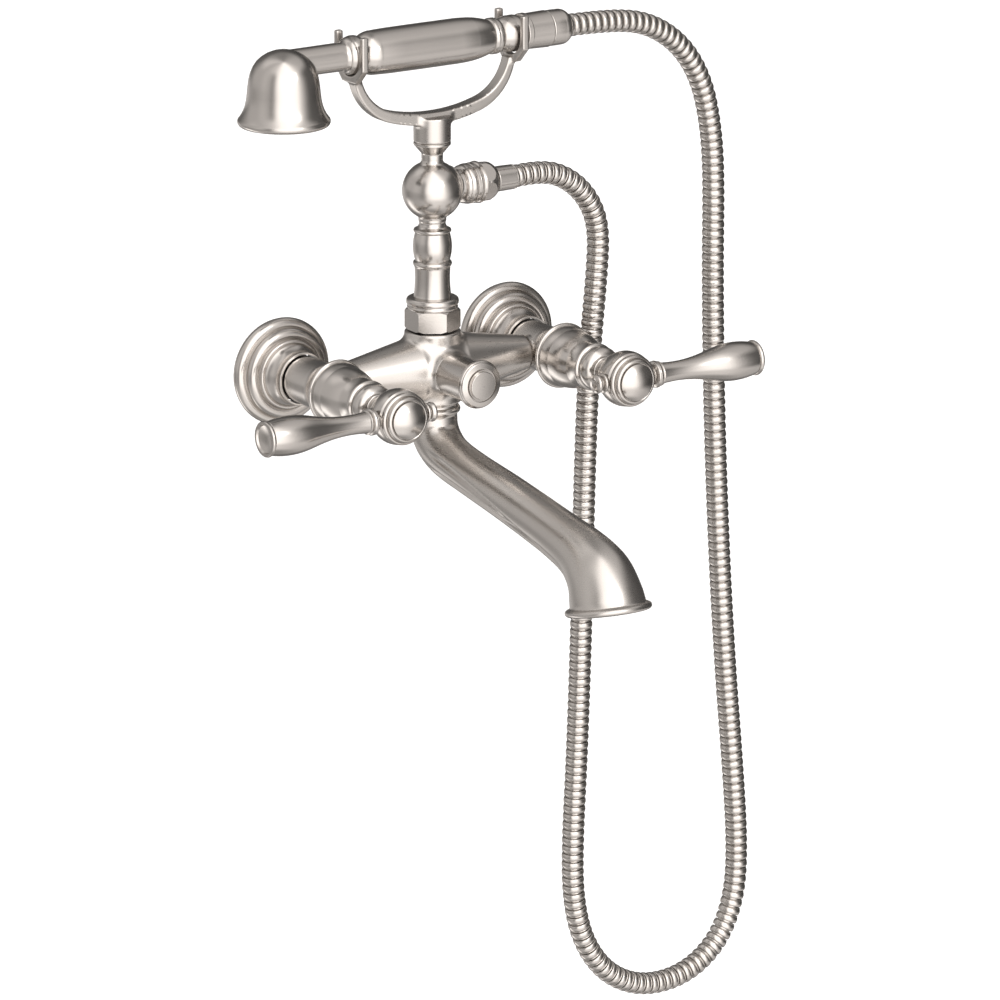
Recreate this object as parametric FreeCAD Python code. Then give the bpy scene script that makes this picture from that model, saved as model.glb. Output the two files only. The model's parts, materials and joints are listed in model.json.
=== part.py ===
import FreeCAD, Part
import math
import os

# Wall mounted bath faucet with a hand shower, in millimetres.
# +Z is up, the wall is the plane y = 0 and the faucet stands out towards -Y.
# The origin lies on the wall, midway between the two inlets.
# "Station" means the distance along a valve or knob axis, out from a datum plane in front of
# the wall. The parts are made about the datum and moved out as they are saved.

V = FreeCAD.Vector

# Driving dimensions
INLET_SPACING = 177.8          # 7 in between the hot and cold inlets
DATUM_OUT = 4.5                # the datum plane stands this far off the wall
WALL = -DATUM_OUT              # station of the wall
AXIS_OUT = 45.5                # station of the body, riser, hose and hand shower: 50 mm off the wall
TUBE_END = 31.0                # the inlet tube meets the valve body here
VALVE_X = INLET_SPACING / 2
THREAD_BORE = 9.5              # tapping radius of a G1/2 thread
THREAD_DEPTH = 16.0
SCREEN_R = 8.0                 # seat of the inlet screen, past the thread
SCREEN_THICK = 1.5
WATERWAY = 6.0                 # radius of the main water passages
BARREL_R = 18.7                # upright barrel of the centre body
BARREL_TOP = 25.4
BARREL_BOTTOM = -23.0
STEM_R = 4.0                   # valve and diverter stems
RUNNING_GAP = 0.05             # radial clearance of a turning or sliding stem
FIT_GAP = 0.05                 # radial clearance of a pushed-in insert
HUB_OUT = 142.8                # station of the handle hub's centre
LEVER_END = 103.0              # from the hub's axis to the lever's end
DIVERTER_TRAVEL = 8.0
RISER_BALL_Z = 119.8
PORT_RISE = 1.0                # the side port sits this far above the ball's centre
PORT_END = 20.6                # length of the port from the riser's axis
CRADLE_SEAT_Z = 152.8
SHOWER_Z = 217.6               # height of the hand shower's axis
FORK_X = 62.5                  # the two cradle forks stand at +X and -X
FORK_GAP = 13.5                # inner radius of a fork
BELL_X = -114.4
SPOUT_RIM_R = 28.4
HOSE_R = 7.5
HOSE_END_X = 107.7             # 0.3 mm short of the swivel nut, which turns on its own

DOWN = V(0, 0, -1)
UP = V(0, 0, 1)
OUT = V(0, -1, 0)
RIGHT = V(1, 0, 0)
LEFT = V(-1, 0, 0)
CROWN = "crown"
SMOOTH = "smooth"


def save(name, shape):
    """Moves one node out from the datum and writes it as a STEP file."""
    moved = shape.copy()
    moved.translate(OUT * DATUM_OUT)
    moved.exportStep("parts/" + name + ".step")


def crown(start, end):
    """Arc between a point on the axis and one off it, centred on the axis."""
    top, edge = (start, end) if start.x < end.x else (end, start)
    drop = edge.z - top.z
    centre_z = top.z + (edge.x ** 2 + drop ** 2) / (2 * drop)
    radius = abs(centre_z - top.z)
    half = edge.x / 2
    middle = V(half, 0, centre_z - math.copysign(math.sqrt(radius ** 2 - half ** 2), drop))
    return Part.Arc(start, middle, end).toShape()


def smooth(points):
    """One smooth curve through the points."""
    curve = Part.BSplineCurve()
    curve.interpolate(points)
    return curve.toShape()


def outline(points):
    """Edges through (radius, station) points.

    A third value is the height of an arc that joins the point to the one before it:
    negative swells away from the axis where the station grows, positive hollows.
    CROWN makes an arc that crosses the axis squarely, for a dome or a dish.
    SMOOTH points and the point before them share one smooth curve.
    """
    edges = []
    run = []
    for before, after in zip(points, points[1:]):
        start = V(before[0], 0, before[1])
        end = V(after[0], 0, after[1])
        if SMOOTH in after:
            run = (run or [start]) + [end]
            continue
        if run:
            edges.append(smooth(run))
            run = []
        if (end - start).Length < 1e-6:
            continue
        if CROWN in after:
            edges.append(crown(start, end))
        elif len(after) == 3:
            along = (end - start).normalize()
            middle = (start + end) * 0.5 - V(along.z, 0, -along.x) * after[2]
            edges.append(Part.Arc(start, middle, end).toShape())
        else:
            edges.append(Part.LineSegment(start, end).toShape())
    return edges


def place(shape, origin, direction):
    """Moves a shape made about +Z so that it stands at origin along direction."""
    placed = shape.copy()
    placed.Placement = FreeCAD.Placement(origin, FreeCAD.Rotation(V(0, 0, 1), direction))
    return placed


def turned(points, origin, direction):
    """Solid of revolution from a closed (radius, station) outline."""
    edges = outline(list(points) + [points[0][:2]])
    face = Part.Face(Part.Wire(edges))
    return place(face.revolve(V(0, 0, 0), V(0, 0, 1), 360), origin, direction)


def rod(radius, start, end, origin, direction):
    """Plain cylinder between two stations."""
    base = Part.makeCylinder(radius, end - start, V(0, 0, start), V(0, 0, 1))
    return place(base, origin, direction)


def ring(outer, inner, start, end, origin, direction):
    """Plain ring between two stations."""
    return rod(outer, start, end, origin, direction).cut(rod(inner, start, end, origin, direction))


def side_name(side):
    return "hot" if side < 0 else "cold"


# ---------------------------------------------------------------- valves at the wall

def wall_flange(origin):
    """Stepped flange: rounded rim, second roll, small bead, then a cove up to the lip."""
    return turned([
        (33.0, WALL), (34.7, WALL), (35.1, -3.4, -0.2), (31.4, 3.6, -2.6), (30.6, 2.9),
        (29.9, 4.2), (24.4, 9.4, -2.5), (23.9, 8.8), (23.2, 10.0), (21.5, 11.9, -0.8),
        (20.9, 11.4), (20.3, 12.6), (17.8, 25.0, 2.0), (17.6, 26.3, -0.3), (16.6, 26.3),
        (16.6, 17.0), (20.0, 8.4), (28.0, 2.2), (33.0, -2.5),
    ], origin, OUT)


def wall_gasket(origin):
    return ring(33.0, 24.0, WALL, WALL + 1.6, origin, OUT)


def inlet_tube(origin):
    """Threaded inlet piece that the flange slides over."""
    thread_end = WALL + THREAD_DEPTH
    body = rod(15.6, WALL, TUBE_END, origin, OUT)
    body = body.cut(rod(THREAD_BORE, WALL, thread_end, origin, OUT))
    body = body.cut(rod(SCREEN_R, thread_end, thread_end + SCREEN_THICK, origin, OUT))
    return body.cut(rod(WATERWAY, thread_end, TUBE_END, origin, OUT))


def inlet_screen(origin):
    """Perforated disc that keeps grit out of the valve."""
    start = WALL + THREAD_DEPTH
    end = start + SCREEN_THICK
    disc = rod(SCREEN_R - FIT_GAP, start, end, origin, OUT)
    for turn in range(6):
        angle = math.radians(60 * turn)
        offset = V(3.4 * math.cos(angle), 0, 3.4 * math.sin(angle))
        disc = disc.cut(rod(1.1, start, end, origin + offset, OUT))
    return disc.cut(rod(1.1, start, end, origin, OUT))


def valve_body(origin, side):
    """Casting with a flared sleeve, a beaded collar, a swelling barrel and a side boss."""
    body = turned([
        (0, TUBE_END), (15.6, TUBE_END), (15.9, 50.0), (20.0, 65.0, 1.2), (21.3, 66.6, -0.3),
        (21.1, 69.0, -0.9), (20.5, 69.8), (19.6, 78.0, -0.4), (15.6, 94.0, -0.9),
        (14.6, 102.6, 0.4), (0, 102.6),
    ], origin, OUT)
    boss_origin = V(0, -AXIS_OUT, 0)
    direction = RIGHT if side > 0 else LEFT
    boss = turned([(0, 72.0), (11.6, 72.0), (10.8, 75.0, 0.5), (14.0, 82.0, 1.0), (0, 88.9)],
                  boss_origin, direction)
    body = body.fuse(boss)
    body = body.cut(rod(WATERWAY, TUBE_END, 72.0, origin, OUT))
    body = body.cut(rod(10.0, 72.0, 102.6, origin, OUT))
    return body.cut(rod(WATERWAY, 72.0, VALVE_X, boss_origin, direction)).removeSplitter()


def bonnet(origin):
    """Ringed bonnet with a rounded shoulder and a neck that the stem runs through."""
    return turned([
        (4.6, 102.6), (14.6, 102.6), (15.3, 103.6, -0.2), (15.3, 106.2, -0.7), (14.4, 106.8),
        (14.6, 108.2), (9.2, 117.6, -2.6), (8.6, 119.0, 0.3), (8.6, 121.0), (4.6, 121.0),
    ], origin, OUT)


def cartridge(origin):
    """Hollow housing of the ceramic disc cartridge."""
    return turned([
        (8.8, 72.0), (9.95, 72.0), (9.95, 100.0), (STEM_R + RUNNING_GAP, 100.0),
        (STEM_R + RUNNING_GAP, 96.0), (8.8, 96.0),
    ], origin, OUT)


def fixed_disc(origin):
    """Ceramic disc with two water slots, seated in the cartridge."""
    disc = rod(8.75, 72.0, 74.6, origin, OUT)
    for shift in (-4.4, 4.4):
        disc = disc.cut(rod(2.0, 72.0, 74.6, origin + V(0, 0, shift), OUT))
    return disc


def turning_disc(origin):
    """Ceramic disc that the stem turns over the fixed one."""
    disc = rod(8.3, 74.8, 77.0, origin, OUT)
    for shift in (-4.4, 4.4):
        disc = disc.cut(rod(2.0, 74.8, 77.0, origin + V(0, 0, shift), OUT))
    return disc


def valve_stem(origin):
    """Stem with a drive flange at the disc and a screw hole at the handle end."""
    return turned([
        (0, 77.0), (8.3, 77.0), (8.3, 79.5), (STEM_R, 79.5), (STEM_R, 134.0), (1.6, 134.0),
        (1.6, 126.0), (0, 126.0),
    ], origin, OUT)


# ---------------------------------------------------------------- lever handles

def handle_hub(origin, side):
    """Ball hub with stepped front rings and sockets for the stem, lever and finial."""
    hub = turned([
        (0, 122.0), (9.2, 122.0), (9.6, 124.6, 0.2), (11.4, 127.2, 0.3), (17.9, 146.2, -3.0),
        (16.9, 147.3), (17.0, 148.2), (15.8, 150.9, -0.9), (14.9, 150.6), (14.9, 151.4),
        (13.3, 154.2, -0.9), (12.9, 154.0), (12.9, 152.4), (0, 152.4),
    ], origin, OUT)
    hub = hub.cut(rod(STEM_R, 122.0, 134.0, origin, OUT))
    hub = hub.cut(rod(2.0, 134.0, 138.0, origin, OUT))
    hub = hub.cut(rod(6.0, 138.0, 152.4, origin, OUT))
    centre = origin + OUT * HUB_OUT
    outward = RIGHT * side
    hub = hub.cut(rod(5.0, 11.0, 20.0, centre, outward))
    return hub.cut(rod(3.5, 11.0, 20.0, centre, outward * -1))


def handle_screw(origin):
    """Screw that clamps the hub on the stem."""
    return turned([
        (0, 126.5), (1.6, 126.5), (1.6, 138.0), (3.6, 138.0), (3.6, 140.6), (0, 140.6),
    ], origin, OUT)


def dome_button(origin):
    """Domed button that plugs the hub's front."""
    return turned([
        (0, 145.0), (5.9, 145.0), (5.9, 152.4), (12.2, 152.4), (12.3, 155.2, -0.1), (0, 159.6, CROWN),
    ], origin, OUT)


def lever_collar(origin, side):
    """Beaded ring between the hub and the lever."""
    centre = origin + OUT * HUB_OUT
    return turned([
        (5.0, 18.5), (6.0, 18.5), (6.0, 19.3), (8.2, 20.2, -0.2), (8.9, 21.6, -0.3), (8.7, 23.4, -0.2),
        (7.8, 24.1, -0.1), (7.2, 24.4), (8.0, 25.1, -0.2), (8.0, 25.9, -0.2), (7.2, 26.4), (5.0, 26.4),
    ], centre, RIGHT * side)


def lever(origin, side):
    """Vase shaped lever with a dished end."""
    centre = origin + OUT * HUB_OUT
    return turned([
        (7.2, 26.4), (6.6, 34.0, SMOOTH), (6.8, 46.0, SMOOTH), (9.0, 61.0, SMOOTH),
        (12.3, 77.0, SMOOTH), (12.6, 90.0, SMOOTH), (11.0, 99.6, SMOOTH), (10.6, 100.2),
        (11.6, 101.0, -0.2), (11.3, LEVER_END, -0.4), (9.6, LEVER_END), (8.8, LEVER_END - 1.2),
        (0, LEVER_END - 2.8, CROWN), (0, 11.0), (5.0, 11.0), (5.0, 26.4),
    ], centre, RIGHT * side)


def finial(origin, side):
    """Small double bead opposite the lever."""
    centre = origin + OUT * HUB_OUT
    return turned([
        (0, 11.0), (3.5, 11.0), (3.5, 18.5), (5.8, 18.6), (6.3, 20.4, -0.6), (4.4, 21.2),
        (4.4, 21.8), (6.2, 23.2, -0.4), (5.9, 25.6, -0.5), (4.4, 26.2), (3.8, 25.4), (0, 24.6, CROWN),
    ], centre, RIGHT * -side)


# ---------------------------------------------------------------- centre body and diverter

def centre_body():
    """Casting: upright barrel, two tapering arms and the diverter boss in front."""
    axis = V(0, -AXIS_OUT, 0)
    body = rod(BARREL_R, BARREL_BOTTOM, BARREL_TOP, axis, UP)
    for direction in (RIGHT, LEFT):
        body = body.fuse(turned([
            (0, 0), (20.0, 0), (21.6, 17.0, -0.6), (21.2, 22.8, -0.3), (11.9, 69.6),
            (11.4, 72.0, -0.3), (0, 72.0),
        ], axis, direction))
    front = V(0, 0, 0)
    body = body.fuse(turned([
        (0, 45.5), (15.4, 45.5), (15.0, 62.0), (14.0, 65.0, 0.5), (13.8, 70.4), (0, 70.4),
    ], front, OUT))
    body = body.cut(rod(8.0, BARREL_BOTTOM, BARREL_TOP, axis, UP))
    body = body.cut(rod(WATERWAY, -72.0, 72.0, axis, RIGHT))
    return body.cut(rod(10.0, 36.0, 70.4, front, OUT)).removeSplitter()


def diverter_sleeve():
    """Guide that the diverter stem slides in, screwed into the body's front."""
    return turned([
        (STEM_R + RUNNING_GAP, 53.0), (9.95, 53.0), (9.95, 79.0), (9.0, 80.0),
        (STEM_R + RUNNING_GAP, 80.0),
    ], V(0, 0, 0), OUT)


def diverter_seat():
    """Ring that the diverter washer closes on."""
    return ring(9.95, 5.5, 36.2, 39.0, V(0, 0, 0), OUT)


def diverter_stem():
    return rod(STEM_R, 39.4, 92.0, V(0, 0, 0), OUT)


def diverter_washer():
    """Rubber washer on the inner end of the stem."""
    return ring(8.6, STEM_R, 40.0, 43.0, V(0, 0, 0), OUT)


def diverter_knob():
    """Pull knob: slightly flared barrel, rounded front ring and a stepped face."""
    knob = turned([
        (0, 70.9), (13.9, 70.9), (14.2, 71.6, -0.2), (14.5, 98.6), (15.3, 99.6, 0.3),
        (15.3, 103.0, -0.9), (14.0, 104.2, -0.3), (11.4, 104.8), (11.2, 103.9), (10.6, 103.9),
        (10.4, 105.2), (0, 105.2),
    ], V(0, 0, 0), OUT)
    knob = knob.cut(rod(10.4, 70.9, 90.0 - DIVERTER_TRAVEL, V(0, 0, 0), OUT))
    return knob.cut(rod(STEM_R, 82.0, 92.0, V(0, 0, 0), OUT))


def diverter_cap():
    """Raised disc on the knob's face."""
    return turned([(0, 105.2), (9.4, 105.2), (9.4, 106.2), (8.8, 106.8, -0.2), (0, 107.2, CROWN)],
                  V(0, 0, 0), OUT)


# ---------------------------------------------------------------- riser

def riser_gasket():
    return ring(12.4, 6.2, BARREL_TOP, 26.4, V(0, -AXIS_OUT, 0), UP)


def riser_nut():
    """Hexagon union nut with chamfered corners."""
    across_corners = 18.5
    corners = []
    for turn in range(7):
        angle = math.radians(60 * turn + 27)
        corners.append(V(across_corners * math.cos(angle), across_corners * math.sin(angle), 26.4))
    prism = Part.Face(Part.makePolygon(corners)).extrude(V(0, 0, 13.8))
    chamfer = turned([
        (0, 26.4), (17.0, 26.4), (18.9, 28.0), (18.9, 38.6), (17.0, 40.2), (0, 40.2),
    ], V(0, 0, 0), UP)
    nut = prism.common(chamfer)
    nut = nut.cut(rod(12.6, 26.4, 40.2, V(0, 0, 0), UP))
    nut.translate(V(0, -AXIS_OUT, 0))
    return nut


def riser_collar():
    """Stepped ring above the nut."""
    return turned([
        (12.6, 40.2), (16.4, 40.2), (16.8, 40.9, -0.1), (16.6, 42.6, -0.2), (16.6, 43.4),
        (17.3, 44.0, -0.1), (17.2, 46.6, -0.2), (15.8, 47.8, -0.2), (12.6, 47.8),
    ], V(0, -AXIS_OUT, 0), UP)


def riser_column():
    """Turned riser: concave foot, waist ring, bulge, neck ring, ball and flared seat."""
    column = turned([
        (0, 26.4), (12.55, 26.4), (12.55, 48.6), (12.3, 49.8), (11.8, 67.6, 0.5),
        (12.5, 69.6, 0.2), (12.5, 72.0, -0.4), (11.4, 72.8), (11.4, 91.4, -1.5),
        (12.1, 92.0), (12.1, 94.0, -0.4), (10.4, 94.9), (9.2, 99.6, 0.9), (9.6, 102.4, 0.2),
        (9.6, 137.2, -10.3), (7.1, 141.4, 0.9), (7.1, 143.4), (8.2, 146.0, 0.4), (12.0, 150.6),
        (12.3, 151.2, -0.1), (12.3, 152.2), (11.7, CRADLE_SEAT_Z), (7.0, CRADLE_SEAT_Z),
        (7.0, 159.0), (0, 159.0),
    ], V(0, -AXIS_OUT, 0), UP)
    column = column.cut(rod(WATERWAY, 26.4, RISER_BALL_Z + PORT_RISE, V(0, -AXIS_OUT, 0), UP))
    ball_centre = V(0, -AXIS_OUT, RISER_BALL_Z)
    port = turned([
        (0, 8.0), (13.6, 8.0), (13.6, 14.6), (10.4, 19.4, 1.2), (10.4, PORT_END), (0, PORT_END),
    ], ball_centre + UP * PORT_RISE, RIGHT)
    column = column.fuse(port)
    waterway = rod(4.5, 0, PORT_END, ball_centre + UP * PORT_RISE, RIGHT)
    return column.cut(waterway).removeSplitter()


def hose_port_ring():
    """Rounded cup on the riser's side port, then a groove and a flat rim."""
    return turned([
        (4.5, PORT_END), (10.5, PORT_END), (12.8, 23.9, -0.8), (13.4, 27.2, -0.3), (12.7, 27.9, -0.1),
        (12.7, 28.3), (13.4, 28.8, -0.1), (13.5, 30.4), (4.5, 30.4),
    ], V(0, -AXIS_OUT, RISER_BALL_Z + PORT_RISE), RIGHT)


def hose_washer():
    return ring(9.0, 4.5, 30.4, 31.8, V(0, -AXIS_OUT, RISER_BALL_Z + PORT_RISE), RIGHT)


def hose_union_nut():
    """Domed union nut with six shallow flats."""
    centre = V(0, -AXIS_OUT, RISER_BALL_Z + PORT_RISE)
    nut = turned([
        (9.1, 30.4), (13.5, 30.4), (13.4, 31.4, -0.1), (12.8, 31.8), (12.8, 32.3), (13.8, 33.2, -0.1),
        (14.0, 36.8, -0.2), (12.8, 42.6, -0.5), (9.0, 48.0, -0.5), (5.0, 48.0), (5.0, 31.8), (9.1, 31.8),
    ], centre, RIGHT)
    for turn in range(6):
        angle = math.radians(60 * turn + 20)
        outward = V(0, math.cos(angle), math.sin(angle))
        flat = Part.makeBox(20, 20, 6, V(-10, -10, 0))
        flat = place(flat, centre + V(44.8, 0, 0) + outward * 12.5, outward)
        nut = nut.cut(flat)
    return nut


def hose_ferrule():
    """Crimped ferrule at the hose's lower end."""
    return turned([
        (4.0, 48.0), (8.1, 48.0), (8.5, 48.8, -0.1), (8.3, 61.6), (7.9, 62.0), (7.9, 62.4), (8.3, 62.8),
        (8.2, 63.5), (7.8, 64.0, -0.1), (4.0, 64.0),
    ], V(0, -AXIS_OUT, RISER_BALL_Z + PORT_RISE), RIGHT)


# ---------------------------------------------------------------- hose

HOSE_POINTS = [
    (64.0, RISER_BALL_Z + PORT_RISE), (86.2, 122.2), (107.4, 114.4), (124, 98.4), (132.4, 77.3),
    (130.8, 45), (124.8, -12), (121.4, -90), (119.4, -190), (116.0, -285), (112.2, -352), (113.2, -392),
    (122.4, -424.5), (142.4, -450), (172, -463.4), (206, -461), (233, -443), (247, -413),
    (249.4, -375), (244.8, -315), (238, -245), (232, -160), (227.2, -60), (225.2, 35),
    (225.7, 98), (223.2, 134), (215.2, 168), (197.8, 194.6),
    (171, 212.2), (139.4, SHOWER_Z), (HOSE_END_X, SHOWER_Z),
]


def hose():
    """Tube along straight runs joined by tangent arcs, ending face to face with its fittings."""
    route = [V(x, -AXIS_OUT, z) for x, z in HOSE_POINTS]
    edges = []
    radii = []
    at = route[0]
    for before, corner, after in zip(route, route[1:], route[2:]):
        come = corner - before
        leave = after - corner
        half = come.getAngle(leave) / 2
        radius = 0.45 * min(come.Length, leave.Length) / math.tan(half)
        radii.append(radius)
        cut_back = radius * math.tan(half)
        start = corner - V(come).normalize() * cut_back
        end = corner + V(leave).normalize() * cut_back
        inward = (V(leave).normalize() - V(come).normalize()).normalize()
        middle = corner + inward * (radius / math.cos(half) - radius)
        edges.append(Part.LineSegment(at, start).toShape())
        edges.append(Part.Arc(start, middle, end).toShape())
        at = end
    edges.append(Part.LineSegment(at, route[-1]).toShape())
    path = Part.Wire(edges)
    length = path.Length
    section = Part.Wire([Part.Circle(route[0], route[1] - route[0], HOSE_R).toShape()])
    tube = path.makePipeShell([section], True, False)
    expected = math.pi * HOSE_R ** 2 * length
    print("hose arc radii:", " ".join("%.0f" % radius for radius in radii))
    print("hose length %.1f, volume %.0f, section x length %.0f" % (length, tube.Volume, expected))
    return tube


# ---------------------------------------------------------------- cradle

BOW_BOTTOM = 168.6             # height of the bow's centreline at its middle
BOW_FLAT_R = 120.0             # long arc under the middle
BOW_CORNER_R = 36.0            # tighter arcs that rise to the forks
BOW_CORNER_ANGLE = 17.0        # where the corner arcs begin, from straight down
BOW_END_ANGLE = 80.0


def bow_point(angle):
    """Point and tangent of the bow's centreline, by its angle from straight down."""
    reach = math.copysign(math.radians(BOW_CORNER_ANGLE), angle)
    x = BOW_FLAT_R * math.sin(angle)
    z = BOW_BOTTOM + BOW_FLAT_R * (1 - math.cos(angle))
    if abs(angle) > abs(reach):
        x = (BOW_FLAT_R - BOW_CORNER_R) * math.sin(reach) + BOW_CORNER_R * math.sin(angle)
        z = (BOW_BOTTOM + BOW_FLAT_R - (BOW_FLAT_R - BOW_CORNER_R) * math.cos(reach)
             - BOW_CORNER_R * math.cos(angle))
    return V(x, -AXIS_OUT, z), V(math.cos(angle), 0, math.sin(angle))


def bow_path():
    """Wire of the bow: corner arc, long arc, corner arc."""
    marks = [-BOW_END_ANGLE, -BOW_CORNER_ANGLE, BOW_CORNER_ANGLE, BOW_END_ANGLE]
    edges = []
    for first, last in zip(marks, marks[1:]):
        stations = (first, (first + last) / 2, last)
        edges.append(Part.Arc(*[bow_point(math.radians(mark))[0] for mark in stations]).toShape())
    return Part.Wire(edges)


def cradle():
    """Socket, curved bow and two U-shaped forks that the hand shower rests in."""
    axis = V(0, -AXIS_OUT, 0)
    path = bow_path()
    start, tangent = bow_point(-math.radians(BOW_END_ANGLE))
    half_width = 5.0
    half_depth = 3.6
    across = V(0, 1, 0)
    inward = tangent.cross(across).normalize()
    corners = []
    for sign_y, sign_n in ((1, 1), (1, -1), (-1, -1), (-1, 1), (1, 1)):
        corners.append(start + across * (sign_y * half_width) + inward * (sign_n * half_depth))
    section = Part.makePolygon(corners)
    body = path.makePipeShell([section], True, False)
    socket = turned([
        (0, CRADLE_SEAT_Z), (11.7, CRADLE_SEAT_Z), (12.3, 153.4), (12.3, 163.6),
        (16.0, 168.4, 0.8), (0, 170.0),
    ], axis, UP)
    body = body.fuse(socket)
    for fork_x in (-FORK_X, FORK_X):
        body = body.fuse(fork(fork_x))
    body = body.cut(rod(7.0, CRADLE_SEAT_Z, 159.2, axis, UP))
    return body.cut(rod(2.0, 0, 20, V(0, -AXIS_OUT, 155.0), V(0, 1, 0))).removeSplitter()


def fork(fork_x):
    """One U: a half ring with two upright prongs."""
    width = 4.8
    wall = 3.8
    prong_top = 231.8
    outer = FORK_GAP + wall
    x_start = fork_x - width / 2
    half_ring = Part.makeCylinder(outer, width, V(x_start, -AXIS_OUT, SHOWER_Z), RIGHT)
    upper = Part.makeBox(width, 2 * outer, prong_top - SHOWER_Z, V(x_start, -AXIS_OUT - outer, SHOWER_Z))
    solid = half_ring.fuse(upper)
    inner = Part.makeCylinder(FORK_GAP, width, V(x_start, -AXIS_OUT, SHOWER_Z), RIGHT)
    gap = Part.makeBox(width, 2 * FORK_GAP, 40, V(x_start, -AXIS_OUT - FORK_GAP, SHOWER_Z))
    return solid.cut(inner).cut(gap)


def cradle_screw():
    """Grub screw at the back of the cradle socket."""
    return rod(1.95, 7.1, 11.6, V(0, -AXIS_OUT, 155.0), V(0, 1, 0))


# ---------------------------------------------------------------- spout

SPOUT_SECTIONS = [
    # (y, z, pitch of the section's normal below the horizontal, radius)
    (-45.5, -32.4, 90, 16.2), (-46.8, -40.0, 80, 16.0), (-53.0, -49.4, 50, 15.8),
    (-66.0, -56.6, 18, 15.2), (-91.6, -62.0, 8, 14.9), (-133.0, -68.6, 9.5, 15.4),
    (-171.0, -75.4, 10.5, 15.9), (-200.0, -81.2, 12, 16.6), (-224.0, -87.2, 20, 18.5),
    (-240.4, -96.0, 42, 21.8), (-249.2, -108.0, 68, 24.1), (-251.6, -113.6, 78, 24.8),
]


def spout_loft(wall):
    """Lofted form of the spout, its radius smaller by wall."""
    wires = []
    for y, z, pitch, radius in SPOUT_SECTIONS:
        angle = math.radians(pitch)
        normal = V(0, -math.cos(angle), -math.sin(angle))
        circle = Part.Circle(V(0, y, z), normal, radius - wall)
        circle.XAxis = V(1, 0, 0)
        wires.append(Part.Wire([circle.toShape()]))
    return Part.makeLoft(wires, True, False)


def spout_frame():
    """Outlet centre and the direction that the water leaves in."""
    y, z, pitch = SPOUT_SECTIONS[-1][:3]
    angle = math.radians(pitch)
    return V(0, y, z), V(0, -math.cos(angle), -math.sin(angle))


def spout():
    """Hollow cast spout with a rolled lip at the outlet."""
    end, direction = spout_frame()
    lip = turned([
        (0, 0), (24.8, 0), (27.4, 1.4, 0.5), (SPOUT_RIM_R, 3.2, -0.4), (27.6, 5.2, -0.5),
        (25.2, 5.6), (0, 5.6),
    ], end, direction)
    outer = spout_loft(0.0).fuse(lip)
    return outer.cut(spout_loft(3.0)).cut(rod(21.8, 0, 5.6, end, direction))


def spout_collar():
    """Bead between the body and the spout."""
    return turned([
        (12.0, BARREL_BOTTOM), (17.0, BARREL_BOTTOM), (16.6, -25.4, -0.3), (17.8, -29.4, 1.0),
        (16.2, -32.4, -0.5), (12.0, -32.4),
    ], V(0, -AXIS_OUT, 0), UP)


def aerator():
    """Flow straightener in the outlet: a ring with a pierced plate."""
    end, direction = spout_frame()
    plate = rod(21.75, 0, 2.0, end, direction)
    for count, radius in ((6, 7.0), (12, 14.0)):
        for turn in range(count):
            angle = 360.0 / count * turn
            axis = V(direction)
            offset = FreeCAD.Rotation(axis, angle).multVec(V(radius, 0, 0))
            plate = plate.cut(rod(1.7, 0, 2.0, end + offset, direction))
    return plate


# ---------------------------------------------------------------- hand shower

SHOWER_AXIS = V(0, -AXIS_OUT, SHOWER_Z)


BELL_PROFILE = [
    (0, 227.6), (7.4, 226.5, CROWN), (14.4, 223.0, SMOOTH), (19.8, 217.0, SMOOTH),
    (22.9, 208.8, SMOOTH), (24.7, 200.0, SMOOTH), (26.3, 192.6, SMOOTH), (28.2, 186.6, SMOOTH),
    (30.3, 181.4, SMOOTH), (29.7, 178.4, 0.7), (27.6, 177.6),
]
BELL_CENTRE = V(BELL_X, -AXIS_OUT, 0)


def shower_bell():
    """Bell with a rolled rim, open below, and a side hole for the water."""
    hollow = [
        (27.6, 180.4), (26.6, 182.6), (21.7, 195.0, 1.2), (20.0, 207.5, 0.2), (12.8, 219.6, -1.7),
        (0, 224.2, CROWN),
    ]
    bell = turned(BELL_PROFILE + hollow, BELL_CENTRE, UP)
    return bell.cut(rod(5.0, 0, 26.0, V(BELL_X, -AXIS_OUT, SHOWER_Z), RIGHT))


def spray_face():
    """Perforated spray plate in three rings of holes."""
    plate = turned([
        (0, 178.6), (26.8, 178.6), (27.5, 179.4), (27.5, 180.4), (0, 180.4),
    ], BELL_CENTRE, UP)
    for count, radius in ((1, 0.0), (6, 8.0), (12, 15.0), (18, 22.0)):
        for turn in range(count):
            angle = math.radians(360.0 / count * turn)
            offset = V(radius * math.cos(angle), radius * math.sin(angle), 0)
            plate = plate.cut(rod(0.9, 178.0, 181.0, BELL_CENTRE + offset, UP))
    return plate


def neck_tube():
    """Tube saddled on the bell's shoulder, ending in a rounded bead at the front fork."""
    tube = turned([
        (5.0, BELL_X), (9.3, BELL_X), (9.5, -72.0), (10.4, -68.6, 0.3), (12.4, -64.6, -0.5),
        (12.2, -57.4, -0.8), (11.2, -56.0), (5.0, -56.0),
    ], SHOWER_AXIS, RIGHT)
    envelope = turned(BELL_PROFILE + [(0, 177.6)], BELL_CENTRE, UP)
    return tube.cut(envelope)


def grip():
    """Barrel shaped grip between the two forks."""
    return turned([
        (5.0, -56.0), (11.4, -56.0), (14.6, -46.6, -0.9), (15.0, -30.0, -0.1), (15.0, 14.0, -0.05),
        (14.4, 29.0, -0.2), (11.2, 43.4, -0.4), (5.0, 43.4),
    ], SHOWER_AXIS, RIGHT)


def grip_collar():
    """Beads behind the grip that rest in the rear fork."""
    return turned([
        (5.0, 43.4), (11.0, 43.4), (12.0, 46.6, -0.5), (11.0, 50.8, -0.5), (9.8, 52.0, 0.2),
        (12.1, 61.0, -0.9), (11.0, 67.8, -0.6), (10.6, 68.4), (5.0, 68.4),
    ], SHOWER_AXIS, RIGHT)


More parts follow.
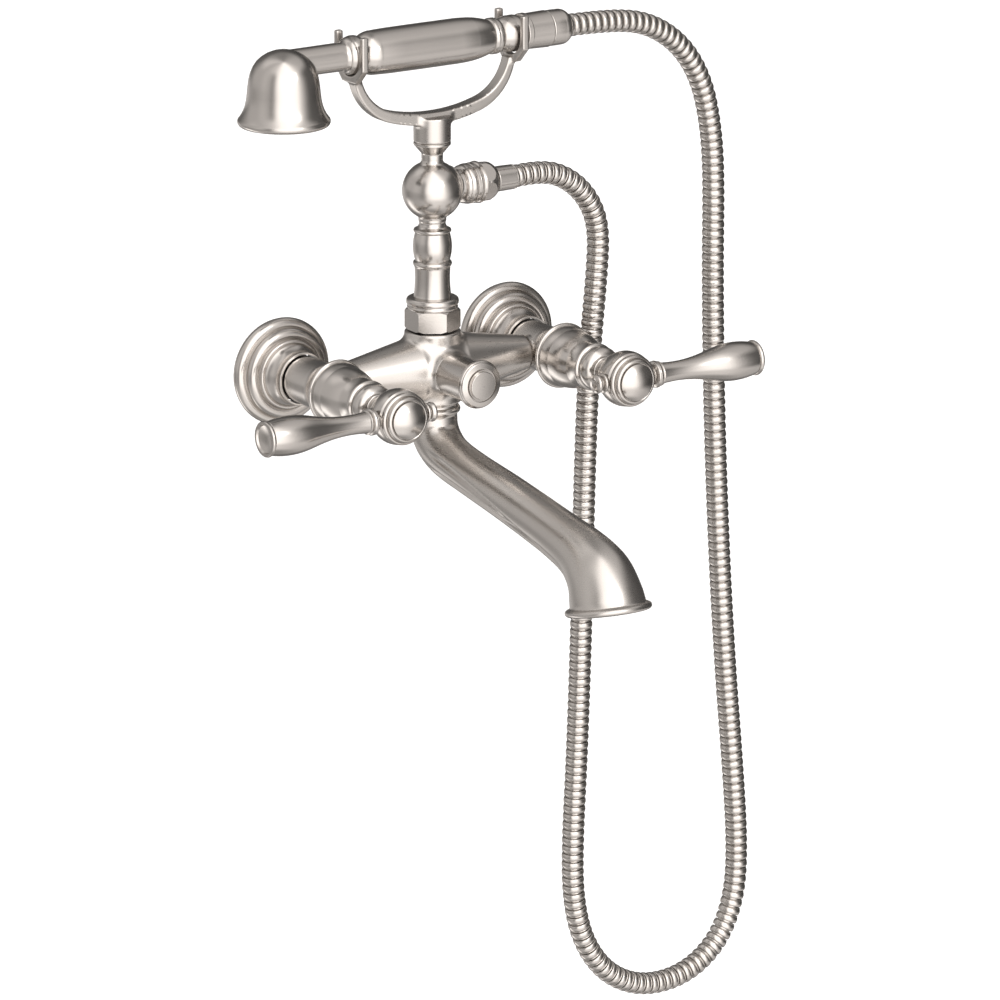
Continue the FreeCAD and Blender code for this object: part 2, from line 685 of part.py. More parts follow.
def tail_connector():
    """Threaded tail that the hose screws on."""
    return turned([
        (5.0, 68.4), (11.2, 68.4), (12.4, 69.4, -0.2), (12.5, 72.2), (11.9, 73.2, 0.2), (12.3, 88.8),
        (11.8, 89.6), (5.0, 89.6),
    ], SHOWER_AXIS, RIGHT)


def swivel_nut():
    """Swivel nut that tapers to the hose."""
    return turned([
        (4.0, 89.6), (11.4, 89.6), (11.9, 90.6, -0.2), (11.9, 99.0, -0.1), (8.6, 105.6, -1.0),
        (7.9, 107.4, 0.2), (4.0, 107.4),
    ], SHOWER_AXIS, RIGHT)


# ---------------------------------------------------------------- build

def build():
    os.makedirs("parts", exist_ok=True)
    for side in (-1, 1):
        name = side_name(side)
        origin = V(VALVE_X * side, 0, 0)
        save(name + "_wall_flange", wall_flange(origin))
        save(name + "_wall_gasket", wall_gasket(origin))
        save(name + "_inlet_tube", inlet_tube(origin))
        save(name + "_inlet_screen", inlet_screen(origin))
        save(name + "_valve_body", valve_body(origin, side))
        save(name + "_bonnet", bonnet(origin))
        save(name + "_cartridge", cartridge(origin))
        save(name + "_fixed_disc", fixed_disc(origin))
        save(name + "_turning_disc", turning_disc(origin))
        save(name + "_stem", valve_stem(origin))
        save(name + "_hub", handle_hub(origin, side))
        save(name + "_handle_screw", handle_screw(origin))
        save(name + "_dome_button", dome_button(origin))
        save(name + "_lever_collar", lever_collar(origin, side))
        save(name + "_lever", lever(origin, side))
        save(name + "_finial", finial(origin, side))
    singles = (
        centre_body, diverter_sleeve, diverter_seat, diverter_stem, diverter_washer, diverter_knob,
        diverter_cap, riser_gasket, riser_nut, riser_collar, riser_column, hose_port_ring,
        hose_washer, hose_union_nut, hose_ferrule, hose, cradle, cradle_screw, spout, spout_collar,
        aerator, shower_bell, spray_face, neck_tube, grip, grip_collar, tail_connector, swivel_nut,
    )
    for make in singles:
        shape = make()
        if not shape.isValid():
            print("invalid:", make.__name__)
        save(make.__name__, shape)
    print("nodes:", 2 * 16 + len(singles))


build()
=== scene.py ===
import bpy
import json
import math
import numpy as np
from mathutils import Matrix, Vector


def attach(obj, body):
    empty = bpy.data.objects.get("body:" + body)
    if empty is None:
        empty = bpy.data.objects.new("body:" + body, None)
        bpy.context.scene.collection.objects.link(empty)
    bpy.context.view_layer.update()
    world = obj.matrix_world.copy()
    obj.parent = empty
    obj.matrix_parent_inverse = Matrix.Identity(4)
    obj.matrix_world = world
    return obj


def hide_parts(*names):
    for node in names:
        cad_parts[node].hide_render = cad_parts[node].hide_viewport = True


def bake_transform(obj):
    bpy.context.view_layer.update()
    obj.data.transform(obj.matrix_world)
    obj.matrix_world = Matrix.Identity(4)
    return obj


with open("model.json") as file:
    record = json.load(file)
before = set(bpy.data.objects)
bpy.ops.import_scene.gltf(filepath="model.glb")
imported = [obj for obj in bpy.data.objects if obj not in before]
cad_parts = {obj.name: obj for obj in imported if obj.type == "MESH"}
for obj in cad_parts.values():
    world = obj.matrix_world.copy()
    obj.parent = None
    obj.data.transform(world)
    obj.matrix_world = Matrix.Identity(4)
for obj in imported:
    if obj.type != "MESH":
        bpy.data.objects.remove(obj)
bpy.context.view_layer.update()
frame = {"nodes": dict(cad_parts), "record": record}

# The scene is in metres, in the faucet's frame: +Z up, the wall is y = 0, the faucet stands out to -Y.
# Sections, profiles and distance fields are in millimetres, and their y starts at a datum plane 4.5 mm in
# front of the wall, as in the CAD. A station is the distance out from that plane.
MM = 0.001
DATUM_OUT = 4.5
# The barrel, the riser, the hose and the hand shower all lie around one plane parallel to the wall.
AXIS_STATION = 45.5
AXIS_Y = -0.05


# ------------------------------------------------------------------ camera

CAMERA_AZIMUTH = math.radians(-33.543)
CAMERA_ELEVATION = math.radians(15.316)
CAMERA_DISTANCE = 5.4383
CAMERA_TARGET = Vector((0.04871, -0.057, -0.09702))
SENSOR_WIDTH = 36.0
LENS = 293.9


def make_camera():
    """Long lens, to the left of the faucet and a little above it."""
    back = Vector((math.sin(CAMERA_AZIMUTH) * math.cos(CAMERA_ELEVATION),
                   -math.cos(CAMERA_AZIMUTH) * math.cos(CAMERA_ELEVATION),
                   math.sin(CAMERA_ELEVATION)))
    data = bpy.data.cameras.new("camera")
    data.sensor_width = SENSOR_WIDTH
    data.lens = LENS
    data.clip_start = 0.5
    data.clip_end = 60.0
    camera = bpy.data.objects.new("camera", data)
    bpy.context.scene.collection.objects.link(camera)
    camera.location = CAMERA_TARGET + back * CAMERA_DISTANCE
    camera.rotation_euler = back.to_track_quat("Z", "Y").to_euler()
    bpy.context.scene.camera = camera


make_camera()


# ------------------------------------------------------------------ node helpers

def new_material(name):
    """New node material, with its tree and its shader."""
    material = bpy.data.materials.new(name)
    material.use_nodes = True
    tree = material.node_tree
    shader = tree.nodes["Principled BSDF"]
    return material, tree, shader


def add(tree, kind, **settings):
    """New node of the given kind, with its own properties set."""
    node = tree.nodes.new(kind)
    for key, value in settings.items():
        setattr(node, key, value)
    return node


def ramp(tree, factor, stops):
    """Colour ramp over (position, grey or colour) stops."""
    node = add(tree, "ShaderNodeValToRGB")
    elements = node.color_ramp.elements
    for index, (position, value) in enumerate(stops):
        element = elements[index] if index < 2 else elements.new(position)
        element.position = position
        colour = value if isinstance(value, tuple) else (value, value, value)
        element.color = (colour[0], colour[1], colour[2], 1.0)
    tree.links.new(factor, node.inputs["Fac"])
    return node.outputs["Color"]


def noise(tree, coords, scale, detail=3.0, roughness=0.55, stretch=(1, 1, 1)):
    """Noise between 0 and 1, drawn out along an axis by a stretch other than 1."""
    mapping = add(tree, "ShaderNodeMapping")
    mapping.inputs["Scale"].default_value = stretch
    tree.links.new(coords, mapping.inputs["Vector"])
    node = add(tree, "ShaderNodeTexNoise")
    node.inputs["Scale"].default_value = scale
    node.inputs["Detail"].default_value = detail
    node.inputs["Roughness"].default_value = roughness
    tree.links.new(mapping.outputs["Vector"], node.inputs["Vector"])
    return node.outputs["Fac"]


def map_range(tree, value, low, high, out_low, out_high):
    """Value carried from one range to another."""
    node = add(tree, "ShaderNodeMapRange")
    node.inputs["From Min"].default_value = low
    node.inputs["From Max"].default_value = high
    node.inputs["To Min"].default_value = out_low
    node.inputs["To Max"].default_value = out_high
    tree.links.new(value, node.inputs["Value"])
    return node.outputs["Result"]


def mix_colour(tree, factor, first, second, mode="MIX"):
    """Mix of two colours, each a tuple or a node's output. The factor is a number or a node's output."""
    node = add(tree, "ShaderNodeMix", data_type="RGBA", blend_type=mode)
    factor_socket = node.inputs[0]
    first_colour, second_colour = node.inputs[6:8]
    for target, value in ((factor_socket, factor), (first_colour, first), (second_colour, second)):
        if isinstance(value, tuple):
            target.default_value = (value[0], value[1], value[2], 1.0)
        elif isinstance(value, (int, float)):
            target.default_value = value
        else:
            tree.links.new(value, target)
    return node.outputs[2]


def bump(tree, height, strength, distance, shader):
    """Fine relief on a shader, from a height between 0 and 1."""
    node = add(tree, "ShaderNodeBump")
    node.inputs["Strength"].default_value = strength
    node.inputs["Distance"].default_value = distance
    tree.links.new(height, node.inputs["Height"])
    tree.links.new(node.outputs["Normal"], shader.inputs["Normal"])


def position_of(tree):
    """Place on the object, in metres, as texture coordinates."""
    return add(tree, "ShaderNodeTexCoord").outputs["Object"]


# ------------------------------------------------------------------ materials

def satin_nickel(name, rough, tint=(0.57, 0.542, 0.515), dark=(0.52, 0.493, 0.467)):
    """Satin plated metal: very fine brushing, slow colour drift and small polish differences."""
    material, tree, shader = new_material(name)
    coords = position_of(tree)
    drift = noise(tree, coords, 14.0, 2.0)
    fine = noise(tree, coords, 900.0, 2.0)
    brushed = noise(tree, coords, 260.0, 3.0, 0.6, (1, 1, 7))
    colour = mix_colour(tree, drift, tint, dark)
    tree.links.new(colour, shader.inputs["Base Color"])
    shader.inputs["Metallic"].default_value = 1.0
    mixed = mix_colour(tree, 0.5, drift, brushed)
    rough_value = map_range(tree, mixed, 0.3, 0.7, rough - 0.035, rough + 0.045)
    tree.links.new(rough_value, shader.inputs["Roughness"])
    height = mix_colour(tree, 0.35, fine, brushed)
    bump(tree, height, 0.05, 0.0002, shader)
    return material


def machined_brass(name):
    """Unplated brass with the fine rings of a lathe, for the parts inside."""
    material, tree, shader = new_material(name)
    coords = position_of(tree)
    colour = mix_colour(tree, noise(tree, coords, 40.0), (0.72, 0.52, 0.24), (0.60, 0.42, 0.20))
    tree.links.new(colour, shader.inputs["Base Color"])
    shader.inputs["Metallic"].default_value = 1.0
    rough = map_range(tree, noise(tree, coords, 600.0, 2.0, 0.5, (1, 8, 1)), 0.3, 0.7, 0.22, 0.36)
    tree.links.new(rough, shader.inputs["Roughness"])
    bump(tree, noise(tree, coords, 1200.0, 2.0, 0.5, (1, 8, 1)), 0.1, 0.0002, shader)
    return material


def plain_steel(name):
    """Dull grey steel of the inlet screens."""
    material, tree, shader = new_material(name)
    coords = position_of(tree)
    colour = mix_colour(tree, noise(tree, coords, 60.0), (0.52, 0.52, 0.53), (0.42, 0.42, 0.43))
    tree.links.new(colour, shader.inputs["Base Color"])
    shader.inputs["Metallic"].default_value = 1.0
    rough = map_range(tree, noise(tree, coords, 500.0), 0.3, 0.7, 0.26, 0.4)
    tree.links.new(rough, shader.inputs["Roughness"])
    bump(tree, noise(tree, coords, 1500.0), 0.1, 0.0001, shader)
    return material


def ceramic(name):
    """Off-white polished ceramic of the valve discs."""
    material, tree, shader = new_material(name)
    coords = position_of(tree)
    colour = mix_colour(tree, noise(tree, coords, 30.0), (0.86, 0.85, 0.81), (0.80, 0.79, 0.75))
    tree.links.new(colour, shader.inputs["Base Color"])
    rough = map_range(tree, noise(tree, coords, 200.0), 0.3, 0.7, 0.12, 0.2)
    tree.links.new(rough, shader.inputs["Roughness"])
    return material


def dark_rubber(name):
    """Matt black rubber of the gaskets and washers."""
    material, tree, shader = new_material(name)
    coords = position_of(tree)
    colour = mix_colour(tree, noise(tree, coords, 80.0), (0.022, 0.021, 0.02), (0.045, 0.043, 0.041))
    tree.links.new(colour, shader.inputs["Base Color"])
    rough = map_range(tree, noise(tree, coords, 500.0), 0.3, 0.7, 0.55, 0.75)
    tree.links.new(rough, shader.inputs["Roughness"])
    bump(tree, noise(tree, coords, 1500.0), 0.2, 0.0002, shader)
    return material


def grey_plastic(name):
    """Dark grey plastic of the spray face."""
    material, tree, shader = new_material(name)
    coords = position_of(tree)
    colour = mix_colour(tree, noise(tree, coords, 50.0), (0.18, 0.175, 0.17), (0.14, 0.137, 0.133))
    tree.links.new(colour, shader.inputs["Base Color"])
    rough = map_range(tree, noise(tree, coords, 300.0), 0.3, 0.7, 0.35, 0.5)
    tree.links.new(rough, shader.inputs["Roughness"])
    bump(tree, noise(tree, coords, 2500.0), 0.15, 0.0001, shader)
    return material


NICKEL = satin_nickel("satin_nickel", 0.205)
CAST_NICKEL = satin_nickel("cast_nickel", 0.28)
HOSE_METAL = satin_nickel("hose_metal", 0.18, (0.56, 0.532, 0.505), (0.51, 0.484, 0.459))
BY_SLOT = {
    "nickel": NICKEL,
    "hose_metal": HOSE_METAL,
    "raw_brass": machined_brass("raw_brass"),
    "screen_steel": plain_steel("screen_steel"),
    "ceramic": ceramic("ceramic"),
    "seal_rubber": dark_rubber("seal_rubber"),
    "spray_plastic": grey_plastic("spray_plastic"),
}


# ------------------------------------------------------------------ mesh helpers

def mesh_object(name, vertices, faces, material, smooth_angle):
    """New mesh in the scene, smooth except at edges sharper than smooth_angle degrees."""
    mesh = bpy.data.meshes.new(name)
    mesh.from_pydata([tuple(v) for v in vertices], [], faces)
    mesh.update()
    mesh.materials.append(material)
    obj = bpy.data.objects.new(name, mesh)
    bpy.context.scene.collection.objects.link(obj)
    shade(mesh, smooth_angle)
    return obj


def shade(mesh, angle):
    """Smooth shading, with edges sharper than an angle in degrees left hard."""
    mesh.shade_smooth()
    mesh.set_sharp_from_angle(angle=math.radians(angle))


def frames_along(points):
    """Each point of a route that lies in a plane y = constant, with two directions across the route."""
    result = []
    side = Vector((0, 1, 0))
    for index, point in enumerate(points):
        before = points[max(index - 1, 0)]
        after = points[min(index + 1, len(points) - 1)]
        tangent = (after - before).normalized()
        result.append((point, side, tangent.cross(side).normalized()))
    return result


# ------------------------------------------------------------------ hose

HOSE_ROUTE = [
    # (x, z) in mm, from the port on the ball down, round the loop and up to the hand shower's tail
    (64.0, 120.8), (86.2, 122.2), (107.4, 114.4), (124, 98.4), (132.4, 77.3), (130.8, 45),
    (124.8, -12), (121.4, -90), (119.4, -190), (116.0, -285), (112.2, -352), (113.2, -392),
    (122.4, -424.5), (142.4, -450), (172, -463.4), (206, -461), (233, -443), (247, -413),
    (249.4, -375), (244.8, -315), (238, -245), (232, -160), (227.2, -60), (225.2, 35),
    (225.7, 98), (223.2, 134), (215.2, 168), (197.8, 194.6),
    (171, 212.2), (139.4, 217.6), (107.7, 217.6),
]


def hose_line():
    """Points along the hose's smooth centreline."""
    curve = bpy.data.curves.new("hose_line", "CURVE")
    curve.dimensions = "3D"
    spline = curve.splines.new("NURBS")
    spline.points.add(len(HOSE_ROUTE) - 1)
    for point, (x, z) in zip(spline.points, HOSE_ROUTE):
        point.co = (x * MM, AXIS_Y, z * MM, 1.0)
    spline.order_u = 3
    spline.use_endpoint_u = True
    spline.resolution_u = 40
    holder = bpy.data.objects.new("hose_line", curve)
    bpy.context.scene.collection.objects.link(holder)
    bpy.context.view_layer.update()
    mesh = bpy.data.meshes.new_from_object(holder)
    points = [Vector(v.co) for v in mesh.vertices]
    bpy.data.objects.remove(holder)
    bpy.data.curves.remove(curve)
    bpy.data.meshes.remove(mesh)
    return points


def even_points(points, stations):
    """Points at the given distances along a polyline."""
    lengths = [0.0]
    for first, second in zip(points, points[1:]):
        lengths.append(lengths[-1] + (second - first).length)
    result = []
    index = 0
    for station in stations:
        while index < len(points) - 2 and lengths[index + 1] < station:
            index += 1
        span = lengths[index + 1] - lengths[index]
        share = (station - lengths[index]) / span if span > 0 else 0.0
        result.append(points[index].lerp(points[index + 1], min(max(share, 0.0), 1.0)))
    return result


def line_length(points):
    """Length of a polyline."""
    return sum((second - first).length for first, second in zip(points, points[1:]))


HOSE_PITCH = 5.62
HOSE_GROOVE_R = 5.6
HOSE_SEGMENTS = 40
HOSE_BAND = [
    # (share of one turn, radius in mm): groove, rounded band, small step, lip
    (0.00, HOSE_GROOVE_R), (0.080, HOSE_GROOVE_R), (0.090, 6.80), (0.12, 7.14), (0.20, 7.42), (0.34, 7.58),
    (0.52, 7.60), (0.66, 7.48), (0.76, 7.26), (0.80, 7.02), (0.825, 6.80), (0.85, 7.02), (0.89, 7.14),
    (0.925, 6.98), (0.94, 6.70), (0.95, HOSE_GROOVE_R),
]


def make_hose():
    """Interlocked metal hose: one rounded band per turn, with a small step, a lip and a dark groove."""
    line = hose_line()
    length = line_length(line)
    count = round(length / (HOSE_PITCH * MM))
    pitch = length / count
    stations = []
    radii = []
    for turn in range(count):
        for share, radius in HOSE_BAND:
            stations.append((turn + share) * pitch)
            radii.append(radius * MM)
    stations.append(length)
    radii.append(HOSE_GROOVE_R * MM)
    centres = even_points(line, stations)
    vertices = []
    faces = []
    for (point, side, up), radius in zip(frames_along(centres), radii):
        for step in range(HOSE_SEGMENTS):
            angle = 2 * math.pi * step / HOSE_SEGMENTS
            vertices.append(point + (side * math.cos(angle) + up * math.sin(angle)) * radius)
    for row in range(len(centres) - 1):
        for step in range(HOSE_SEGMENTS):
            a = row * HOSE_SEGMENTS + step
            b = row * HOSE_SEGMENTS + (step + 1) % HOSE_SEGMENTS
            faces.append((a, b, b + HOSE_SEGMENTS, a + HOSE_SEGMENTS))
    faces.append(tuple(reversed(range(HOSE_SEGMENTS))))
    faces.append(tuple(range((len(centres) - 1) * HOSE_SEGMENTS, len(centres) * HOSE_SEGMENTS)))
    hose = mesh_object("ribbed_hose", vertices, faces, HOSE_METAL, 50)
    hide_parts("hose")
    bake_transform(hose)


make_hose()


# ------------------------------------------------------------------ spout

SPOUT_SECTIONS = [
    # (minus the station, z, pitch of the section's normal below the horizontal, radius), as in the CAD
    (-45.5, -32.4, 90, 16.2), (-46.8, -40.0, 80, 16.0), (-53.0, -49.4, 50, 15.8),
    (-66.0, -56.6, 18, 15.2), (-91.6, -62.0, 8, 14.9), (-133.0, -68.6, 9.5, 15.4),
    (-171.0, -75.4, 10.5, 15.9), (-200.0, -81.2, 12, 16.6), (-224.0, -87.2, 20, 18.5),
    (-240.4, -96.0, 42, 21.8), (-249.2, -108.0, 68, 24.1), (-251.6, -113.6, 78, 24.8),
]
SPOUT_ROWS = 96
SPOUT_SEGMENTS = 96
# Grooves: angle in degrees from the top of the section, depth in mm, width in radians.
COVE_ANGLE = 78
COVE_SINKS_BY = 44
COVE_DEPTH = 1.35
COVE_WIDTH = 0.11
EDGE_ANGLE = 118
EDGE_DEPTH = 1.3
EDGE_WIDTH = 0.10
# Shares of the spout's length between which the grooves start, the cove sinks and each one runs out.
GROOVES_START = (0.09, 0.2)
COVE_SINKS = (0.15, 0.75)
COVE_ENDS = (0.5, 0.76)
EDGE_ENDS = (0.90, 0.985)
SPOUT_LIP = [
    # (radius, depth past the last section): rolled lip, then up inside the outlet
    (25.0, 0.3), (25.7, 0.8), (26.8, 1.15), (27.7, 1.7), (28.25, 2.5), (28.4, 3.3), (28.2, 4.2),
    (27.6, 5.0), (26.7, 5.5), (25.6, 5.6), (24.2, 5.4), (23.0, 4.9), (22.2, 4.2), (21.9, 3.2),
    (21.8, 0.2), (21.3, -3.0), (20.4, -8.0),
]


def spline_through(knots, values, at):
    """Smooth curve through (knot, value) pairs, with slopes from the neighbours."""
    index = 0
    while index < len(knots) - 2 and at > knots[index + 1]:
        index += 1
    slopes = []
    for place in (index, index + 1):
        low = max(place - 1, 0)
        high = min(place + 1, len(knots) - 1)
        slopes.append((values[high] - values[low]) / (knots[high] - knots[low]))
    span = knots[index + 1] - knots[index]
    share = (at - knots[index]) / span
    square = share * share
    cube = square * share
    return ((2 * cube - 3 * square + 1) * values[index] + (cube - 2 * square + share) * span * slopes[0]
            + (3 * square - 2 * cube) * values[index + 1] + (cube - square) * span * slopes[1])


def step_between(low, high, value):
    """Smooth step from 0 at low to 1 at high."""
    share = min(max((value - low) / (high - low), 0.0), 1.0)
    return share * share * (3 - 2 * share)


def groove(off, at, width):
    """Bell curve over the angle off the top, 1 in the middle of the groove."""
    return math.exp(-((off - at) / width) ** 2)


def spout_section(share, radius):
    """Radius of the spout at each segment of the section that lies at this share of its length."""
    start = step_between(*GROOVES_START, share)
    cove_at = math.radians(COVE_ANGLE + COVE_SINKS_BY * step_between(*COVE_SINKS, share))
    cove_depth = COVE_DEPTH * start * (1 - step_between(*COVE_ENDS, share))
    edge_at = math.radians(EDGE_ANGLE)
    edge_depth = EDGE_DEPTH * start * (1 - step_between(*EDGE_ENDS, share))
    section = []
    for step in range(SPOUT_SEGMENTS):
        off = abs(math.remainder(2 * math.pi * step / SPOUT_SEGMENTS, 2 * math.pi))
        reach = radius - cove_depth * groove(off, cove_at, COVE_WIDTH)
        section.append(reach - edge_depth * groove(off, edge_at, EDGE_WIDTH))
    return section


def spout_ring(centre, up, section):
    """Points of one section, in metres, from its radii at each segment."""
    ring = []
    for step, reach in enumerate(section):
        angle = 2 * math.pi * step / SPOUT_SEGMENTS
        point = centre + Vector((math.sin(angle), 0, 0)) * reach + up * math.cos(angle) * reach
        ring.append(point * MM)
    return ring


def make_spout():
    """Cast spout: round above, a cove along each side that sinks on the way to the outlet, a groove along
    each lower edge and a rolled lip."""
    knots = [0.0]
    for first, second in zip(SPOUT_SECTIONS, SPOUT_SECTIONS[1:]):
        knots.append(knots[-1] + math.hypot(second[0] - first[0], second[1] - first[1]))
    columns = list(zip(*SPOUT_SECTIONS))
    rings = []
    for row in range(SPOUT_ROWS + 1):
        at = knots[-1] * row / SPOUT_ROWS
        y, z, pitch, radius = [spline_through(knots, column, at) for column in columns]
        tilt = math.radians(pitch)
        up = Vector((0, -math.sin(tilt), math.cos(tilt)))
        rings.append(spout_ring(Vector((0, y - DATUM_OUT, z)), up, spout_section(at / knots[-1], radius)))
    y, z, pitch, radius = SPOUT_SECTIONS[-1]
    tilt = math.radians(pitch)
    onward = Vector((0, -math.cos(tilt), -math.sin(tilt)))
    up = Vector((0, -math.sin(tilt), math.cos(tilt)))
    for reach, depth in SPOUT_LIP:
        centre = Vector((0, y - DATUM_OUT, z)) + onward * depth
        rings.append(spout_ring(centre, up, [reach] * SPOUT_SEGMENTS))
    vertices = [point for ring in rings for point in ring]
    faces = []
    for row in range(len(rings) - 1):
        for step in range(SPOUT_SEGMENTS):
            a = row * SPOUT_SEGMENTS + step
            b = row * SPOUT_SEGMENTS + (step + 1) % SPOUT_SEGMENTS
            faces.append((a, a + SPOUT_SEGMENTS, b + SPOUT_SEGMENTS, b))
    faces.append(tuple(range(SPOUT_SEGMENTS)))
    faces.append(tuple(reversed(range((len(rings) - 1) * SPOUT_SEGMENTS, len(rings) * SPOUT_SEGMENTS))))
    spout = mesh_object("cast_spout", vertices, faces, CAST_NICKEL, 60)
    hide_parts("spout")
    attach(spout, "faucet")


make_spout()


# ------------------------------------------------------------------ cast pieces with fillets

def smooth_min(a, b, reach):
    """Union of two distance fields with a fillet."""
    share = np.maximum(reach - np.abs(a - b), 0.0) / reach
    return np.minimum(a, b) - share * share * reach * 0.25


def smooth_max(a, b, reach):
    """Intersection of two distance fields with a rounded edge."""
    return -smooth_min(-a, -b, reach)


def rounded_box(across, along, half_across, half_along, corner):
    """Distance to a rounded rectangle in two coordinates."""
    first = np.abs(across) - half_across + corner
    second = np.abs(along) - half_along + corner
    outside = np.hypot(np.maximum(first, 0.0), np.maximum(second, 0.0))
    return outside + np.minimum(np.maximum(first, second), 0.0) - corner


def field_mesh(field, low, high, cell):
    """Closed mesh of the surface where a distance field is zero, in millimetres."""
    counts = [int(math.ceil((top - bottom) / cell)) + 1 for bottom, top in zip(low, high)]
    axes = [bottom + cell * np.arange(count) for bottom, count in zip(low, counts)]
    grid = np.meshgrid(*axes, indexing="ij")
    values = field(*grid)
    inside = values < 0
    nx, ny, nz = counts
    corners = np.zeros((nx - 1, ny - 1, nz - 1), int)
    for i in (0, 1):
        for j in (0, 1):
            for k in (0, 1):
                corners += inside[i:nx - 1 + i, j:ny - 1 + j, k:nz - 1 + k]
    cells = (corners > 0) & (corners < 8)
    numbers = -np.ones(cells.shape, int)
    numbers[cells] = np.arange(int(cells.sum()))
    index = np.argwhere(cells)
    points = np.array(low) + (index + 0.5) * cell
    for _ in range(6):
        points = pull_to_surface(points, field, cell)
    faces = []
    for axis in range(3):
        first, second = [(1, 2), (2, 0), (0, 1)][axis]
        near = [slice(None)] * 3
        far = [slice(None)] * 3
        near[axis] = slice(0, counts[axis] - 1)
        far[axis] = slice(1, counts[axis])
        crossing = inside[tuple(near)] != inside[tuple(far)]
        for place in np.argwhere(crossing):
            if place[first] == 0 or place[second] == 0:
                continue
            if place[first] >= counts[first] - 1 or place[second] >= counts[second] - 1:
                continue
            loop = []
            for back_first, back_second in ((1, 1), (0, 1), (0, 0), (1, 0)):
                spot = place.copy()
                spot[first] -= back_first
                spot[second] -= back_second
                loop.append(int(numbers[tuple(spot)]))
            if not inside[tuple(place)]:
                loop.reverse()
            faces.append(loop)
    return points, faces


def pull_to_surface(points, field, cell):
    """Moves points along the field's slope on to its zero surface."""
    step = 0.02
    x, y, z = points.T
    value = field(x, y, z)
    slope = np.stack([field(x + step, y, z) - field(x - step, y, z),
                      field(x, y + step, z) - field(x, y - step, z),
                      field(x, y, z + step) - field(x, y, z - step)], axis=1) / (2 * step)
    size = np.maximum((slope ** 2).sum(axis=1), 0.05)
    move = -(value / size)[:, None] * slope
    reach = np.sqrt((move ** 2).sum(axis=1))
    limit = np.minimum(1.0, 0.6 * cell / np.maximum(reach, 1e-9))
    return points + move * limit[:, None]


def cast_object(name, field, low, high, cell, node):
    """Smooth mesh of a distance field, in place of the CAD node of that name."""
    points, faces = field_mesh(field, low, high, cell)
    vertices = [(x * MM, (y - DATUM_OUT) * MM, z * MM) for x, y, z in points]
    obj = mesh_object(name, vertices, faces, CAST_NICKEL, 180)
    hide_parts(node)
    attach(obj, "faucet")


# Centre body: the arms taper from their root to the valves, and the boss tapers towards the diverter.
ARM_ROOT_R = 21.6
ARM_ROOT_X = 17.0
ARM_TAPER = 9.7 / 52.6
ARM_END_X = 72.0
BARREL_R = 18.7
BARREL_MIDDLE = 1.2
BARREL_HALF_HEIGHT = 24.2
BOSS_ROOT_R = 15.4
BOSS_NARROWS_BY = 1.4
BOSS_NARROWS_OVER = 20.0
BOSS_END = 70.4
BODY_FILLET = 5.0
BODY_BORE_R = 10.0
BODY_BORE_START = 36.0


def body_field(x, y, z):
    """Centre body: barrel, two tapering arms and the diverter boss, with cast fillets."""
    depth = y + AXIS_STATION
    reach = np.abs(x)
    arm_radius = ARM_ROOT_R - ARM_TAPER * np.maximum(reach - ARM_ROOT_X, 0.0)
    arm = (np.hypot(depth, z) - arm_radius) * 0.983
    arm = smooth_max(arm, reach - ARM_END_X, 0.8)
    barrel = smooth_max(np.hypot(x, depth) - BARREL_R, np.abs(z - BARREL_MIDDLE) - BARREL_HALF_HEIGHT, 1.2)
    station = -y
    outward = np.clip((station - AXIS_STATION) / BOSS_NARROWS_OVER, 0.0, 1.2)
    boss_radius = BOSS_ROOT_R - BOSS_NARROWS_BY * outward
    boss = smooth_max(np.hypot(x, z) - boss_radius, station - BOSS_END, 0.6)
    boss = np.maximum(boss, AXIS_STATION - station)
    solid = smooth_min(smooth_min(arm, barrel, BODY_FILLET), boss, BODY_FILLET)
    bore = np.maximum(np.hypot(x, z) - BODY_BORE_R, BODY_BORE_START - station)
    return np.maximum(solid, -bore)


# Cradle: the bow is a flat arc that turns into a tighter one at each corner.
BOW_BOTTOM = 168.6
BOW_FLAT_R = 120.0
BOW_CORNER_R = 36.0
BOW_CORNER = math.radians(17.0)
BOW_END = math.radians(80.0)
SOCKET_R = 12.3
SOCKET_MIDDLE = 161.2
SOCKET_HALF_HEIGHT = 8.4
SOCKET_BORE_R = 7.0
SOCKET_BORE_TOP = 159.2
FORK_X = 62.5
FORK_HALF_THICKNESS = 2.4
FORK_HALF_WIDTH = 17.3
FORK_CORNER_CUT = 25.4
FORK_BELOW_SHOWER = 17.6
FORK_HOLLOW_R = 13.5
FORK_TOP = 231.8
SHOWER_Z = 217.6
CRADLE_FILLET = 3.5


def bow_field(x, y, z):
    """Curved bow between the forks, deeper in the middle than at its ends."""
    reach = np.abs(x)
    top = BOW_BOTTOM + BOW_FLAT_R
    corner_x = (BOW_FLAT_R - BOW_CORNER_R) * math.sin(BOW_CORNER)
    corner_z = top - (BOW_FLAT_R - BOW_CORNER_R) * math.cos(BOW_CORNER)
    corner_angle = np.arctan2(reach - corner_x, corner_z - z)
    flat_angle = np.arctan2(reach, top - z)
    cornered = corner_angle > BOW_CORNER
    across = np.where(cornered, np.hypot(reach - corner_x, z - corner_z) - BOW_CORNER_R,
                      np.hypot(reach, z - top) - BOW_FLAT_R)
    angle = np.where(cornered, corner_angle, flat_angle)
    share = np.clip(angle / BOW_END, 0.0, 1.0)
    half_depth = 4.1 - 1.3 * share
    half_width = 5.0 - 0.6 * share
    bar = rounded_box(across, y + AXIS_STATION, half_depth, half_width, 1.0)
    return np.maximum(bar, (angle - BOW_END) * BOW_CORNER_R)


